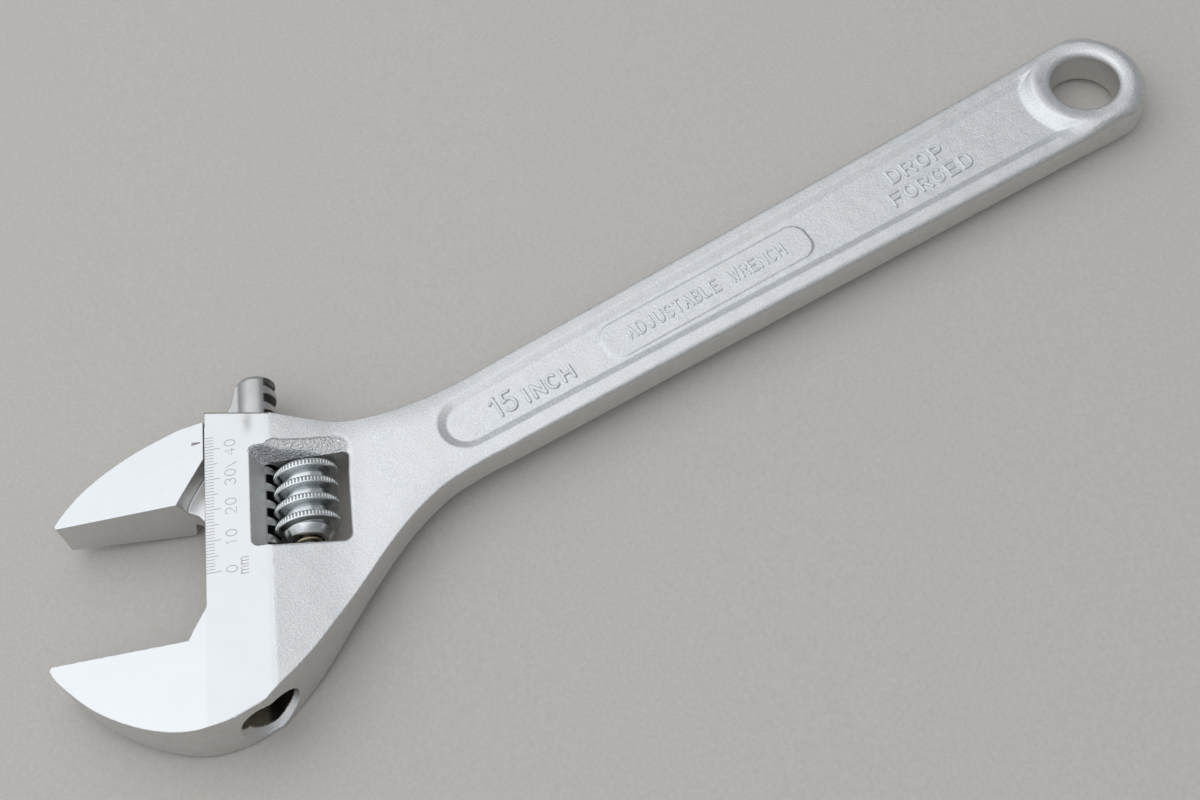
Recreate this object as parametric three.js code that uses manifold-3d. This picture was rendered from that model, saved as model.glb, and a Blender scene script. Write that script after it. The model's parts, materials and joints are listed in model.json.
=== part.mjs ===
// Adjustable wrench, 15 inch (381 mm) long, drop forged and satin chromed.
//
// Five pieces make it up: the forged body with the fixed jaw, the movable jaw with its
// toothed slide rod, the worm that drives the rod, the screw pin that the worm turns on,
// and the small spring that keeps the worm from turning by itself.
//
// Lengths are in millimetres. Every piece is drawn in the head frame: X runs from the
// throat wall towards the handle, Y is the direction in which the movable jaw opens,
// and z = 0 is the mid-plane of the wrench. The graduated scale starts at y = 0.
import * as THREE from "three";
import { mergeVertices } from "three/addons/utils/BufferGeometryUtils.js";
import Module from "manifold-3d";

// Body
const HEAD_HALF = 11; // half the thickness between the machined faces
const HANDLE_HALF = 6; // half the thickness of the handle
const WAIST_HALF = 5.5; // half the thickness where the head runs out into the handle
const RIDGE_X = 19; // the machined faces end here and the forged slope begins
const WAIST_X = 41;
const HANDLE_X = 62;
const JAW_TAPER = 0.083; // fall of each machined face per mm, from the throat to the tips
const JAW_TIP_X = -46.1;
const OPENING = 43; // distance between the jaw faces as the part is drawn
const FIXED_FACE_Y = -19.3;
const MOVING_FACE_Y = FIXED_FACE_Y + OPENING;
const TOP_Y = 53.4; // end of the throat wall at the top edge of the head
const CORNER_RELIEF = { x: -5.4, y: -10 }; // clears the corner of a nut in the throat
const HANDLE_ANGLE = THREE.MathUtils.degToRad(22.8); // between the handle and the jaw faces
const HANDLE_OFFSET = 5.8; // from the scale's zero to the handle's centre line
const HANDLE_START = 92; // distances along the handle's centre line
const PANEL_START = 78;
const HOLE_AT = 310.1;
const HOLE_RADIUS = 10.4;
const HOLE_RIM_RADIUS = 11.8;
const END_RADIUS = 19.2;
const HALF_WIDTH_NEAR = 14.4; // half the handle's width at HANDLE_START
const HALF_WIDTH_FAR = 18.4; // and at the hang hole
const PANEL_DEPTH = 1.3;
const PANEL_RIM = 6.2; // width of the raised rim beside the sunk panel
const PANEL_CLEAR_OF_HOLE = 17.4;

// Slide rod, worm, pin and spring
const ROD_X = 13.4;
const ROD_RADIUS = 6.15;
const ROD_TOP = 67.2;
const ROD_BOTTOM = 6;
const PITCH = 5.6; // of the worm and of the rod's teeth
const NECK_HALF = 4; // half the thickness of the neck between the jaw and the rod
const NECK_BOTTOM = 20.6;
const NECK_TOP = 65.2;
const SLOT_FRONT = -7.4; // the neck's slot reaches a little into the fixed jaw
const RUNNING_GAP = 0.35;
const WORM_X = 27.5;
const WORM_RADIUS = 9.6;
const THREAD_DEPTH = 2.8;
const CREST_WIDTH = 1.9;
const WORM_BOTTOM = 10.7;
const WORM_TOP = 34.4;
const HUB_RADIUS = 7.6;
const CREST_AT_TOP = 15.1; // y of the lowest crest, where it faces straight up
const CREST_AT_ROD = CREST_AT_TOP - PITCH / 4;
const WINDOW = { x0: 17.2, x1: 41.2, y0: 6.6, y1: 35.4 };
const WINDOW_RIM = { x0: 13.3, x1: 43.2, y0: 6.2, y1: 40.4 };
const WINDOW_THROAT_Z = 5.1;
const PIN_RADIUS = 2.5;
const PIN_HEAD_RADIUS = 4.2;
const PIN_HEAD_BOTTOM = 42;
const PIN_TOP = 46.4;
const PIN_BOTTOM = -5.5;
const SPRING_RADIUS = 3.6;
const SPRING_WIRE = 0.5; // radius of the wire
const SPRING_POCKET = 16.2; // end of the pocket in the worm that holds the spring

const wasm = await Module();
wasm.setup();

// ---- closed solids from three.js geometry ----

function solid(geometry) {
  const bare = geometry.clone();
  bare.deleteAttribute("normal");
  bare.deleteAttribute("uv");
  const merged = mergeVertices(bare, 1e-4);
  const mesh = new wasm.Mesh({
    numProp: 3,
    vertProperties: new Float32Array(merged.attributes.position.array),
    triVerts: new Uint32Array(merged.index.array),
  });
  return new wasm.Manifold(mesh);
}

function namedMesh(name, manifold, look) {
  const made = manifold.getMesh();
  const geometry = new THREE.BufferGeometry();
  const positions = new THREE.BufferAttribute(new Float32Array(made.vertProperties), 3);
  geometry.setAttribute("position", positions);
  geometry.setIndex(new THREE.BufferAttribute(new Uint32Array(made.triVerts), 1));
  geometry.computeVertexNormals();
  const mesh = new THREE.Mesh(geometry, new THREE.MeshStandardMaterial(look));
  mesh.name = name;
  return mesh;
}

// A plate between two heights, from its outline seen from above.
function plate(points, low, high) {
  const shape = new THREE.Shape(points);
  const geometry = new THREE.ExtrudeGeometry(shape, { depth: high - low, bevelEnabled: false });
  return solid(geometry.translate(0, 0, low));
}

// A bar along Y with the given outline in X and Z.
function barAlongY(points, low, high) {
  const shape = new THREE.Shape(points);
  const geometry = new THREE.ExtrudeGeometry(shape, { depth: high - low, bevelEnabled: false });
  return solid(geometry.rotateX(Math.PI / 2).translate(0, high, 0));
}

// A turned piece about an axis parallel to Y. The profile is a list of [radius, y].
function turned(x, profile, segments = 32) {
  const points = profile.map(([radius, y]) => new THREE.Vector2(radius, y));
  return solid(new THREE.LatheGeometry(points, segments).translate(x, 0, 0));
}

function rod(x, radius, low, high, segments = 32) {
  return turned(x, [[0, low], [radius, low], [radius, high], [0, high]], segments);
}

function box(x0, x1, y0, y1, z0, z1) {
  const geometry = new THREE.BoxGeometry(x1 - x0, y1 - y0, z1 - z0);
  return solid(geometry.translate((x0 + x1) / 2, (y0 + y1) / 2, (z0 + z1) / 2));
}

// A block whose rectangle changes between two heights, such as a flared window.
function flaredBlock(lower, z0, upper, z1) {
  const geometry = new THREE.BoxGeometry(1, 1, 1);
  const place = geometry.attributes.position;
  for (let i = 0; i < place.count; i++) {
    const isUpper = place.getZ(i) > 0;
    const rectangle = isUpper ? upper : lower;
    const x = place.getX(i) > 0 ? rectangle.x1 : rectangle.x0;
    const y = place.getY(i) > 0 ? rectangle.y1 : rectangle.y0;
    place.setXYZ(i, x, y, isUpper ? z1 : z0);
  }
  return solid(geometry);
}

// ---- outlines ----

const at = (x, y) => new THREE.Vector2(x, y);
const curveThrough = (points, steps) => new THREE.SplineCurve(points).getPoints(steps);

// A point of the handle, by its distance along the centre line and to the side of it.
function onHandle(along, aside) {
  const side = HANDLE_OFFSET + aside;
  const cos = Math.cos(HANDLE_ANGLE);
  const sin = Math.sin(HANDLE_ANGLE);
  return at(along * cos - side * sin, along * sin + side * cos);
}

function halfWidth(along) {
  const share = (along - HANDLE_START) / (HOLE_AT - HANDLE_START);
  return THREE.MathUtils.lerp(HALF_WIDTH_NEAR, HALF_WIDTH_FAR, share);
}

// The round end of the handle, from its upper side to its lower side.
function roundEnd(steps) {
  const tangent = Math.asin(HALF_WIDTH_FAR / END_RADIUS);
  const points = [];
  for (let i = 0; i <= steps; i++) {
    const angle = THREE.MathUtils.lerp(tangent, -tangent, i / steps);
    const along = HOLE_AT + END_RADIUS * Math.cos(angle);
    points.push(onHandle(along, END_RADIUS * Math.sin(angle)));
  }
  return points;
}

// The body seen from above: top edge of the head, handle, lower edge, jaw back, throat.
function bodyOutline() {
  const upperStart = onHandle(HANDLE_START, halfWidth(HANDLE_START));
  const lowerStart = onHandle(HANDLE_START + 2, -halfWidth(HANDLE_START + 2));
  const topEdge = [at(RIDGE_X, 50.2), at(33.5, 47.1), at(41, 46.4), at(52, 47.2), at(64.2, 49.9)];
  const lowerEdge = [at(79.1, 24.2), at(67.5, 18), at(54.6, 5.9), at(38, -15.6), at(28.5, -27.8)];
  const jawBack = [at(16.2, -40.4), at(9.4, -43.7), at(-4.2, -46.1), at(-17.7, -43.1)];
  const jawNose = [at(-31.5, -35.7), at(-42.4, -25.8), at(JAW_TIP_X, -20.6)];
  return [
    at(0, TOP_Y),
    ...curveThrough([...topEdge, upperStart], 14),
    ...roundEnd(16),
    ...curveThrough([lowerStart, ...lowerEdge, at(19.6, -37)], 18),
    ...curveThrough([...jawBack, ...jawNose], 16),
    at(JAW_TIP_X + 0.6, FIXED_FACE_Y),
    at(CORNER_RELIEF.x, FIXED_FACE_Y),
    at(0, CORNER_RELIEF.y),
  ].reverse();
}

// The whole wrench seen from the side: tapered jaws, flat machined faces, the forged
// slope behind the ridge and the thinner handle.
function thicknessEnvelope() {
  const nose = JAW_TIP_X - 4;
  const upper = [
    at(nose, HEAD_HALF + JAW_TAPER * nose),
    at(0, HEAD_HALF),
    at(RIDGE_X, HEAD_HALF),
    at(WAIST_X, WAIST_HALF),
    at(HANDLE_X, HANDLE_HALF),
    at(HOLE_AT + END_RADIUS, HANDLE_HALF),
  ];
  const lower = upper.map((point) => at(point.x, -point.y)).reverse();
  return barAlongY([...upper, ...lower].reverse(), -80, 200);
}

function movingJawOutline() {
  const wall = -RUNNING_GAP;
  const faceToBack = [at(-8, 49), at(-20.2, 44.7), at(-30, 39.8), at(-38, 34.2), at(-43.6, 28.4)];
  return [
    at(wall, 50.1),
    ...curveThrough([...faceToBack, at(JAW_TIP_X, 24.8)], 16),
    at(JAW_TIP_X + 0.6, MOVING_FACE_Y),
    at(-8.7, MOVING_FACE_Y),
    at(wall, 37.3),
  ];
}

// The thin neck that carries the jaw on the rod, with a hollow below and a sweep above.
function neckOutline() {
  const sweep = new THREE.QuadraticBezierCurve(at(7.5, NECK_TOP), at(6.2, 51.5), at(-3, 49.2));
  const hollow = new THREE.QuadraticBezierCurve(at(-9, 26), at(-6, 21.6), at(0.5, NECK_BOTTOM));
  const rodSide = [at(ROD_X, NECK_BOTTOM), at(ROD_X, NECK_TOP)];
  return [...sweep.getPoints(8), ...hollow.getPoints(6), ...rodSide];
}

// The sunk panel: round near the head, hollow around the hang hole at its far end.
function panelOutline() {
  const near = halfWidth(PANEL_START) - PANEL_RIM;
  const points = [];
  for (let i = 0; i <= 10; i++) {
    const angle = Math.PI / 2 + (Math.PI * i) / 10;
    points.push(onHandle(PANEL_START + near + near * Math.cos(angle), near * Math.sin(angle)));
  }
  const far = halfWidth(HOLE_AT) - PANEL_RIM;
  const reach = Math.asin(far / PANEL_CLEAR_OF_HOLE);
  for (let i = 0; i <= 6; i++) {
    const angle = THREE.MathUtils.lerp(-reach, reach, i / 6);
    const along = HOLE_AT - PANEL_CLEAR_OF_HOLE * Math.cos(angle);
    points.push(onHandle(along, PANEL_CLEAR_OF_HOLE * Math.sin(angle)));
  }
  return points;
}

// ---- pieces ----

function hangHole() {
  const centre = onHandle(HOLE_AT, 0);
  const profile = [
    [0, -HANDLE_HALF - 1],
    [HOLE_RIM_RADIUS + 1, -HANDLE_HALF - 1],
    [HOLE_RADIUS, 1.4 - HANDLE_HALF],
    [HOLE_RADIUS, HANDLE_HALF - 1.4],
    [HOLE_RIM_RADIUS + 1, HANDLE_HALF + 1],
    [0, HANDLE_HALF + 1],
  ];
  const points = profile.map(([radius, z]) => at(radius, z));
  const geometry = new THREE.LatheGeometry(points, 36).rotateX(Math.PI / 2);
  return solid(geometry.translate(centre.x, centre.y, 0));
}

function windowCut() {
  const rimZ = HEAD_HALF + 1;
  const through = box(WINDOW.x0, WINDOW.x1, WINDOW.y0, WINDOW.y1, -rimZ, rimZ);
  const above = flaredBlock(WINDOW, WINDOW_THROAT_Z, WINDOW_RIM, HEAD_HALF);
  const below = flaredBlock(WINDOW_RIM, -HEAD_HALF, WINDOW, -WINDOW_THROAT_Z);
  return through.add(above).add(below);
}

function wrenchBody() {
  const outside = plate(bodyOutline(), -HEAD_HALF, HEAD_HALF).intersect(thicknessEnvelope());
  const slotHalf = NECK_HALF + RUNNING_GAP + 0.05;
  const slotBottom = NECK_BOTTOM - OPENING - 0.8;
  const floor = HANDLE_HALF - PANEL_DEPTH;
  return outside
    .subtract(rod(ROD_X, ROD_RADIUS + RUNNING_GAP, -60, 60, 40))
    .subtract(box(SLOT_FRONT, ROD_X, slotBottom, 60, -slotHalf, slotHalf))
    .subtract(windowCut())
    .subtract(rod(WORM_X, PIN_RADIUS + 0.3, PIN_BOTTOM - 0.4, 60, 20))
    .subtract(rod(WORM_X, PIN_HEAD_RADIUS + 0.3, PIN_HEAD_BOTTOM - 0.3, 60, 24))
    .subtract(hangHole())
    .subtract(plate(panelOutline(), floor, HANDLE_HALF + 1))
    .subtract(plate(panelOutline(), -HANDLE_HALF - 1, -floor));
}

// The rod's teeth, cut square to the worm's thread.
function rackGrooves() {
  const lead = Math.atan2(PITCH, 2 * Math.PI * WORM_RADIUS);
  const rootX = WORM_X - WORM_RADIUS - 1.1;
  const halfRoot = 1.35;
  const halfTip = 1.9;
  const depth = ROD_X + ROD_RADIUS + 0.5 - rootX;
  const first = Math.ceil((ROD_BOTTOM + 2 - CREST_AT_ROD) / PITCH);
  const last = Math.floor((ROD_TOP - 2 - CREST_AT_ROD) / PITCH);
  const section = [at(0, -halfRoot), at(depth, -halfTip), at(depth, halfTip), at(0, halfRoot)];
  let grooves = null;
  for (let tooth = first; tooth <= last; tooth++) {
    const shape = new THREE.Shape(section);
    const geometry = new THREE.ExtrudeGeometry(shape, { depth: 20, bevelEnabled: false });
    geometry.translate(0, 0, -10).rotateX(-lead);
    const groove = solid(geometry.translate(rootX, CREST_AT_ROD + tooth * PITCH, 0));
    grooves = grooves ? grooves.add(groove) : groove;
  }
  return grooves;
}

function movableJaw() {
  const jaw = plate(movingJawOutline(), -HEAD_HALF, HEAD_HALF).intersect(thicknessEnvelope());
  const neck = plate(neckOutline(), -NECK_HALF, NECK_HALF);
  const slideRod = turned(ROD_X, [
    [0, ROD_BOTTOM],
    [ROD_RADIUS - 0.9, ROD_BOTTOM],
    [ROD_RADIUS, ROD_BOTTOM + 0.9],
    [ROD_RADIUS, ROD_TOP - 2],
    [ROD_RADIUS - 0.7, ROD_TOP - 0.6],
    [ROD_RADIUS - 2, ROD_TOP],
    [0, ROD_TOP],
  ]);
  return jaw.add(neck).add(slideRod).subtract(rackGrooves());
}

// A helix about an axis parallel to Y whose frames point straight out from the axis.
class Helix extends THREE.Curve {
  constructor(x, radius, pitch, startY, startAngle, turns) {
    super();
    Object.assign(this, { x, radius, pitch, startY, startAngle, turns });
  }

  angle(t) {
    return this.startAngle + 2 * Math.PI * this.turns * t;
  }

  getPoint(t, target = new THREE.Vector3()) {
    const angle = this.angle(t);
    const y = this.startY + this.pitch * this.turns * t;
    return target.set(this.x + this.radius * Math.sin(angle), y, this.radius * Math.cos(angle));
  }

  computeFrenetFrames(segments) {
    const tangents = [];
    const normals = [];
    const binormals = [];
    for (let i = 0; i <= segments; i++) {
      const angle = this.angle(i / segments);
      const outward = new THREE.Vector3(Math.sin(angle), 0, Math.cos(angle));
      const round = new THREE.Vector3(Math.cos(angle), 0, -Math.sin(angle));
      const climb = new THREE.Vector3(0, this.pitch / (2 * Math.PI), 0);
      const tangent = round.multiplyScalar(this.radius).add(climb).normalize();
      tangents.push(tangent);
      normals.push(outward);
      binormals.push(new THREE.Vector3().crossVectors(tangent, outward));
    }
    return { tangents, normals, binormals };
  }
}

function swept(shape, helix, stepsPerTurn) {
  const steps = Math.round(helix.turns * stepsPerTurn);
  return solid(new THREE.ExtrudeGeometry(shape, { steps, extrudePath: helix }));
}

// The worm's thread: flat knurled crests, with steep flanks down to the core.
function wormThread() {
  const halfCrest = CREST_WIDTH / 2;
  const halfRoot = halfCrest + 0.6;
  const half = THREAD_DEPTH + 0.4;
  const section = [at(-half, -halfRoot), at(0, -halfCrest), at(0, halfCrest), at(-half, halfRoot)];
  const startY = CREST_AT_TOP - PITCH / 2;
  const turns = (WORM_TOP + 0.3 - startY) / PITCH;
  const helix = new Helix(WORM_X, WORM_RADIUS, PITCH, startY, -Math.PI, turns);
  return swept(new THREE.Shape(section), helix, 24);
}

function adjustingWorm() {
  const root = WORM_RADIUS - THREAD_DEPTH;
  const core = turned(WORM_X, [
    [0, WORM_BOTTOM],
    [HUB_RADIUS - 1.8, WORM_BOTTOM],
    [HUB_RADIUS, WORM_BOTTOM + 2.2],
    [HUB_RADIUS, WORM_BOTTOM + 2.6],
    [root, WORM_BOTTOM + 3.2],
    [root, WORM_TOP - 1.8],
    [HUB_RADIUS, WORM_TOP - 1.2],
    [HUB_RADIUS, WORM_TOP - 0.6],
    [HUB_RADIUS - 0.8, WORM_TOP],
    [0, WORM_TOP],
  ]);
  const ends = rod(WORM_X, WORM_RADIUS + 2, WORM_BOTTOM, WORM_TOP, 24);
  return core
    .add(wormThread())
    .intersect(ends)
    .subtract(rod(WORM_X, PIN_RADIUS + RUNNING_GAP, 0, 50, 20))
    .subtract(rod(WORM_X, SPRING_RADIUS + SPRING_WIRE + 0.5, 0, SPRING_POCKET, 24));
}

function wormPin() {
  const pin = turned(WORM_X, [
    [0, PIN_BOTTOM],
    [PIN_RADIUS - 0.6, PIN_BOTTOM],
    [PIN_RADIUS, PIN_BOTTOM + 0.6],
    [PIN_RADIUS, PIN_HEAD_BOTTOM],
    [PIN_HEAD_RADIUS, PIN_HEAD_BOTTOM],
    [PIN_HEAD_RADIUS, PIN_TOP - 0.4],
    [PIN_HEAD_RADIUS - 0.4, PIN_TOP],
    [0, PIN_TOP],
  ], 24);
  const slot = box(WORM_X - 6, WORM_X + 6, PIN_TOP - 1.6, PIN_TOP + 1, -0.6, 0.6);
  return pin.subtract(slot);
}

function wormSpring() {
  const wire = new THREE.Shape();
  wire.absarc(0, 0, SPRING_WIRE, 0, 2 * Math.PI);
  const low = WINDOW.y0 + 0.3 + SPRING_WIRE;
  const high = SPRING_POCKET - 0.3 - SPRING_WIRE;
  const turns = 5.5;
  const helix = new Helix(WORM_X, SPRING_RADIUS, (high - low) / turns, low, 0, turns);
  const section = new THREE.Shape(wire.getPoints(4).slice(0, -1));
  return swept(section, helix, 12);
}

// ---- the wrench ----

const forged = { color: 0xd9dcde, roughness: 0.42, metalness: 0.9 };
const machined = { color: 0xe9eef1, roughness: 0.3, metalness: 0.9 };
const knurled = { color: 0xb9c3c9, roughness: 0.28, metalness: 1 };
const brass = { color: 0xb59a62, roughness: 0.4, metalness: 1 };

const head = new THREE.Group();
head.add(namedMesh("wrench_body", wrenchBody(), forged));
head.add(namedMesh("worm_pin", wormPin(), knurled));
head.add(namedMesh("worm_spring", wormSpring(), brass));

const slide = new THREE.Group();
slide.add(namedMesh("movable_jaw", movableJaw(), machined));
head.add(slide);

const spindle = new THREE.Group();
spindle.add(namedMesh("adjusting_worm", adjustingWorm(), knurled));
head.add(spindle);

// The part's own frame: the handle lies along +X, the head at the -X end, and the origin
// is in the middle of the footprint, on the surface that the wrench lies on.
head.rotation.z = -HANDLE_ANGLE;
const group = new THREE.Group();
group.add(head);
group.updateMatrixWorld(true);
const extent = new THREE.Box3().setFromObject(group, true);
const middle = extent.getCenter(new THREE.Vector3());
head.position.set(-middle.x, -middle.y, -extent.min.z);

export default group;
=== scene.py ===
"""Adjustable wrench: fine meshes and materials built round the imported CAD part.

Shapes are drawn in the head frame, in millimetres: X runs from the throat wall towards
the handle, Y is the way the movable jaw opens, and z = 0 is the wrench's mid-plane.
The record's worm joint says where that frame lies in the row frame.
"""

import json
import math

import bpy
import numpy as np
import openvdb
from mathutils import Matrix, Vector


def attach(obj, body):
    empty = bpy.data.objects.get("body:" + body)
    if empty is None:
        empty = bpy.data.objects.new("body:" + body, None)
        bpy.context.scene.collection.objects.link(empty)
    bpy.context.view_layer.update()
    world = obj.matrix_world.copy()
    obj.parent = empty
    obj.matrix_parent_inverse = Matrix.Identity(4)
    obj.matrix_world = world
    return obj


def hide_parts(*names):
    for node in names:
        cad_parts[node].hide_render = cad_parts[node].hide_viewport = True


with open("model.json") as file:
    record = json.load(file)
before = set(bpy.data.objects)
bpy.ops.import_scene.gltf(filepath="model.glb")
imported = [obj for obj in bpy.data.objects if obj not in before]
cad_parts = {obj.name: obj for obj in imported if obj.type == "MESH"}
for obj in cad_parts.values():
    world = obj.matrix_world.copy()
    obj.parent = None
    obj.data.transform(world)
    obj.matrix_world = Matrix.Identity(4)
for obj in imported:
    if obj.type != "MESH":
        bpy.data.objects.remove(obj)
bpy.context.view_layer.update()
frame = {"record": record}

MM = 0.001

# ---- the wrench's dimensions, as in the CAD part ----
HEAD_HALF = 11.0
HANDLE_HALF = 6.0
WAIST_HALF = 5.5
RIDGE_X = 19.0
WAIST_X = 41.0
HANDLE_X = 62.0
JAW_TAPER = 0.083
JAW_TIP_X = -46.1
OPENING = 43.0
FIXED_FACE_Y = -19.3
MOVING_FACE_Y = FIXED_FACE_Y + OPENING
TOP_Y = 53.4
HANDLE_OFFSET = 5.8
HANDLE_START = 92.0
HOLE_AT = 310.1
HOLE_RADIUS = 10.3
RING_RISE = 1.3  # how far the hang hole's ring is crowned
END_RADIUS = 19.2
HALF_WIDTH_NEAR = 14.4
HALF_WIDTH_FAR = 18.4
ROD_X = 13.4
ROD_RADIUS = 6.15
ROD_TOP = 67.2
ROD_BOTTOM = 6.0
PITCH = 5.6
NECK_HALF = 4.0
SLOT_FRONT = -7.4
NECK_BOTTOM = 20.6
NECK_TOP = 65.2
WORM_X = 27.5
WORM_RADIUS = 9.6
ROOT_RADIUS = 6.8
WORM_BOTTOM = 10.7
WORM_TOP = 34.4
HUB_RADIUS = 7.6
CREST_AT_TOP = 15.1
CREST_AT_ROD = CREST_AT_TOP - PITCH / 4
PIN_RADIUS = 2.5
PIN_HEAD_RADIUS = 4.2
PIN_HEAD_BOTTOM = 42.0
PIN_TOP = 46.4
PIN_BOTTOM = -5.5
INSET = 0.05  # how far the fine surfaces stay inside the CAD's
JAW_GAP = 0.12  # between the jaw's back and the head

# ---- the head frame in the row frame ----
spin = next(j for j in frame["record"]["behaviour"]["joints"] if j["name"] == "worm_spin")
OPENS = Vector(spin["axis"]).normalized()
TURN = math.atan2(OPENS.x, OPENS.y)
COS, SIN = math.cos(TURN), math.sin(TURN)
WORM_POINT = (WORM_X, 20.0, 0.0)
TURNED = Matrix.Rotation(-TURN, 4, "Z")
ORIGIN = Vector(spin["pos_m"]) / MM - TURNED @ Vector(WORM_POINT)


def to_row(points):
    """Points of the head frame, in millimetres, as metres in the row frame."""
    x, y, z = np.asarray(points, float).T
    return MM * np.stack(
        [x * COS + y * SIN + ORIGIN.x, y * COS - x * SIN + ORIGIN.y, z + ORIGIN.z], 1
    )


def turned(vectors):
    x, y, z = np.asarray(vectors, float).T
    return np.stack([x * COS + y * SIN, y * COS - x * SIN, z], 1)


def on_handle(along, aside):
    side = HANDLE_OFFSET + aside
    return along * COS - side * SIN, along * SIN + side * COS


def handle_place(x, y):
    """How far along the handle's centre line a point is, and how far to its side."""
    return x * COS + y * SIN, y * COS - x * SIN - HANDLE_OFFSET


def half_width(along):
    share = (along - HANDLE_START) / (HOLE_AT - HANDLE_START)
    return HALF_WIDTH_NEAR + (HALF_WIDTH_FAR - HALF_WIDTH_NEAR) * share


# ---- outlines ----
def curve_through(points, steps):
    """A Catmull-Rom curve through the points."""
    p = np.array(points, float)
    last = len(p) - 1
    t = np.linspace(0, last, steps + 1)
    i = np.minimum(t.astype(int), last - 1)
    w = (t - i)[:, None]
    p0, p1, p2, p3 = p[np.maximum(i - 1, 0)], p[i], p[i + 1], p[np.minimum(i + 2, last)]
    v0, v1 = (p2 - p0) / 2, (p3 - p1) / 2
    cubic = (2 * p1 - 2 * p2 + v0 + v1) * w**3
    return cubic + (3 * p2 - 3 * p1 - 2 * v0 - v1) * w**2 + v0 * w + p1


def bezier(a, b, c, steps):
    t = np.linspace(0, 1, steps + 1)[:, None]
    a, b, c = (np.array(q, float) for q in (a, b, c))
    return (1 - t) ** 2 * a + 2 * t * (1 - t) * b + t**2 * c


def body_outline():
    upper = on_handle(HANDLE_START, half_width(HANDLE_START))
    lower = on_handle(HANDLE_START + 2, -half_width(HANDLE_START + 2))
    top_edge = [(19, 50.2), (33.5, 47.1), (41, 46.4), (52, 47.2), (64.2, 49.9), upper]
    low_edge = [lower, (79.1, 24.2), (67.5, 18), (54.6, 5.9), (38, -15.6), (28.5, -27.8)]
    back = [(16.2, -40.4), (9.4, -43.7), (-4.2, -46.1), (-17.7, -43.1), (-31.5, -35.7)]
    reach = math.asin(HALF_WIDTH_FAR / END_RADIUS)
    end = [
        on_handle(HOLE_AT + END_RADIUS * math.cos(a), END_RADIUS * math.sin(a))
        for a in np.linspace(reach, -reach, 49)
    ]
    return np.vstack([
        [(0, TOP_Y)],
        curve_through(top_edge, 40),
        end,
        curve_through([*low_edge, (19.6, -37)], 54),
        curve_through([*back, (-42.4, -25.8), (JAW_TIP_X, -20.6)], 54),
        [(JAW_TIP_X + 0.6, FIXED_FACE_Y), (-5.4, FIXED_FACE_Y), (0, -10)],
    ])


def jaw_outline():
    back = [(-8, 49), (-20.2, 44.7), (-30, 39.8), (-38, 34.2), (-43.6, 28.4)]
    return np.vstack([
        [(-JAW_GAP, 50.1)],
        curve_through([*back, (JAW_TIP_X, 24.8)], 48),
        [(JAW_TIP_X + 0.6, MOVING_FACE_Y), (-8.7, MOVING_FACE_Y), (-JAW_GAP, 37.3)],
    ])


def neck_outline():
    return np.vstack([
        bezier((7.5, NECK_TOP), (6.2, 51.5), (-3, 49.2), 16),
        curve_through([(-9.5, 24.2), (-7.3, 24.1), (-5.6, 23.5), (-3.8, 22.4)], 12),
        [(-2.7, NECK_BOTTOM + 0.4), (-2.4, NECK_BOTTOM)],
        [(ROD_X, NECK_BOTTOM), (ROD_X, NECK_TOP)],
    ])


class Plan:
    """Distance to some paths, read from a grid in plan; closed ones count as negative inside."""

    def __init__(self, paths, step, margin, closed):
        every = np.vstack([np.array(path, float) for path in paths])
        self.low, self.high = every.min(0) - margin, every.max(0) + margin
        self.step = step
        count = np.ceil((self.high - self.low) / step).astype(int) + 1
        x = (self.low[0] + step * np.arange(count[0]))[:, None]
        y = (self.low[1] + step * np.arange(count[1]))[None, :]
        nearest = np.full(count, 1e9)
        inside = np.zeros(count, bool)
        for path in paths:
            ends = np.roll(path, -1, 0) if closed else path[1:]
            for (ax, ay), (bx, by) in zip(path, ends):
                ex, ey = bx - ax, by - ay
                length = max(ex * ex + ey * ey, 1e-9)
                share = np.clip(((x - ax) * ex + (y - ay) * ey) / length, 0, 1)
                away = (x - ax - ex * share) ** 2 + (y - ay - ey * share) ** 2
                nearest = np.minimum(nearest, away)
                if closed and ey:
                    crosses = (ay > y) != (by > y)
                    inside ^= crosses & (x < ax + ex * (y - ay) / ey)
        self.values = (np.sqrt(nearest) * np.where(inside, -1, 1)).astype(np.float32)

    def __call__(self, x, y):
        u = (x - self.low[0]) / self.step
        v = (y - self.low[1]) / self.step
        u = np.clip(u, 0, self.values.shape[0] - 1.001)
        v = np.clip(v, 0, self.values.shape[1] - 1.001)
        i, j = u.astype(int), v.astype(int)
        u, v = u - i, v - j
        g = self.values
        low = g[i, j] * (1 - v) + g[i, j + 1] * v
        return low * (1 - u) + (g[i + 1, j] * (1 - v) + g[i + 1, j + 1] * v) * u


# ---- fields: negative inside a shape ----
def both(a, b, radius):
    """Where a and b both hold, with the edge between them rounded."""
    u, v = np.maximum(a + radius, 0), np.maximum(b + radius, 0)
    return np.minimum(np.maximum(a, b), -radius) + np.sqrt(u * u + v * v)


def cut(a, hole, radius):
    return both(a, -hole, radius)


def joined(a, b, radius):
    """Either of a and b, with the corner between them filled."""
    return -both(-a, -b, radius)


def soft_min(a, b, width):
    blend = np.maximum(width - np.abs(a - b), 0) / width
    return np.minimum(a, b) - blend * blend * width / 4


def soft_max(a, b, width):
    return -soft_min(-a, -b, width)


def step(value, low, high):
    t = np.clip((value - low) / (high - low), 0, 1)
    return t * t * (3 - 2 * t)


def waves(seed, count, shortest, longest):
    """Gentle unevenness of a forged surface, between about -1 and 1."""
    rng = np.random.default_rng(seed)
    ways = rng.normal(size=(count, 3))
    ways /= np.linalg.norm(ways, axis=1)[:, None]
    ways *= (2 * math.pi / rng.uniform(shortest, longest, count))[:, None]
    phases = rng.uniform(0, 2 * math.pi, count)

    def value(x, y, z):
        total = 0.0
        for (a, b, c), phase in zip(ways, phases):
            total = total + np.sin(a * x + b * y + c * z + phase)
        return total / math.sqrt(count)

    return value


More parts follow.
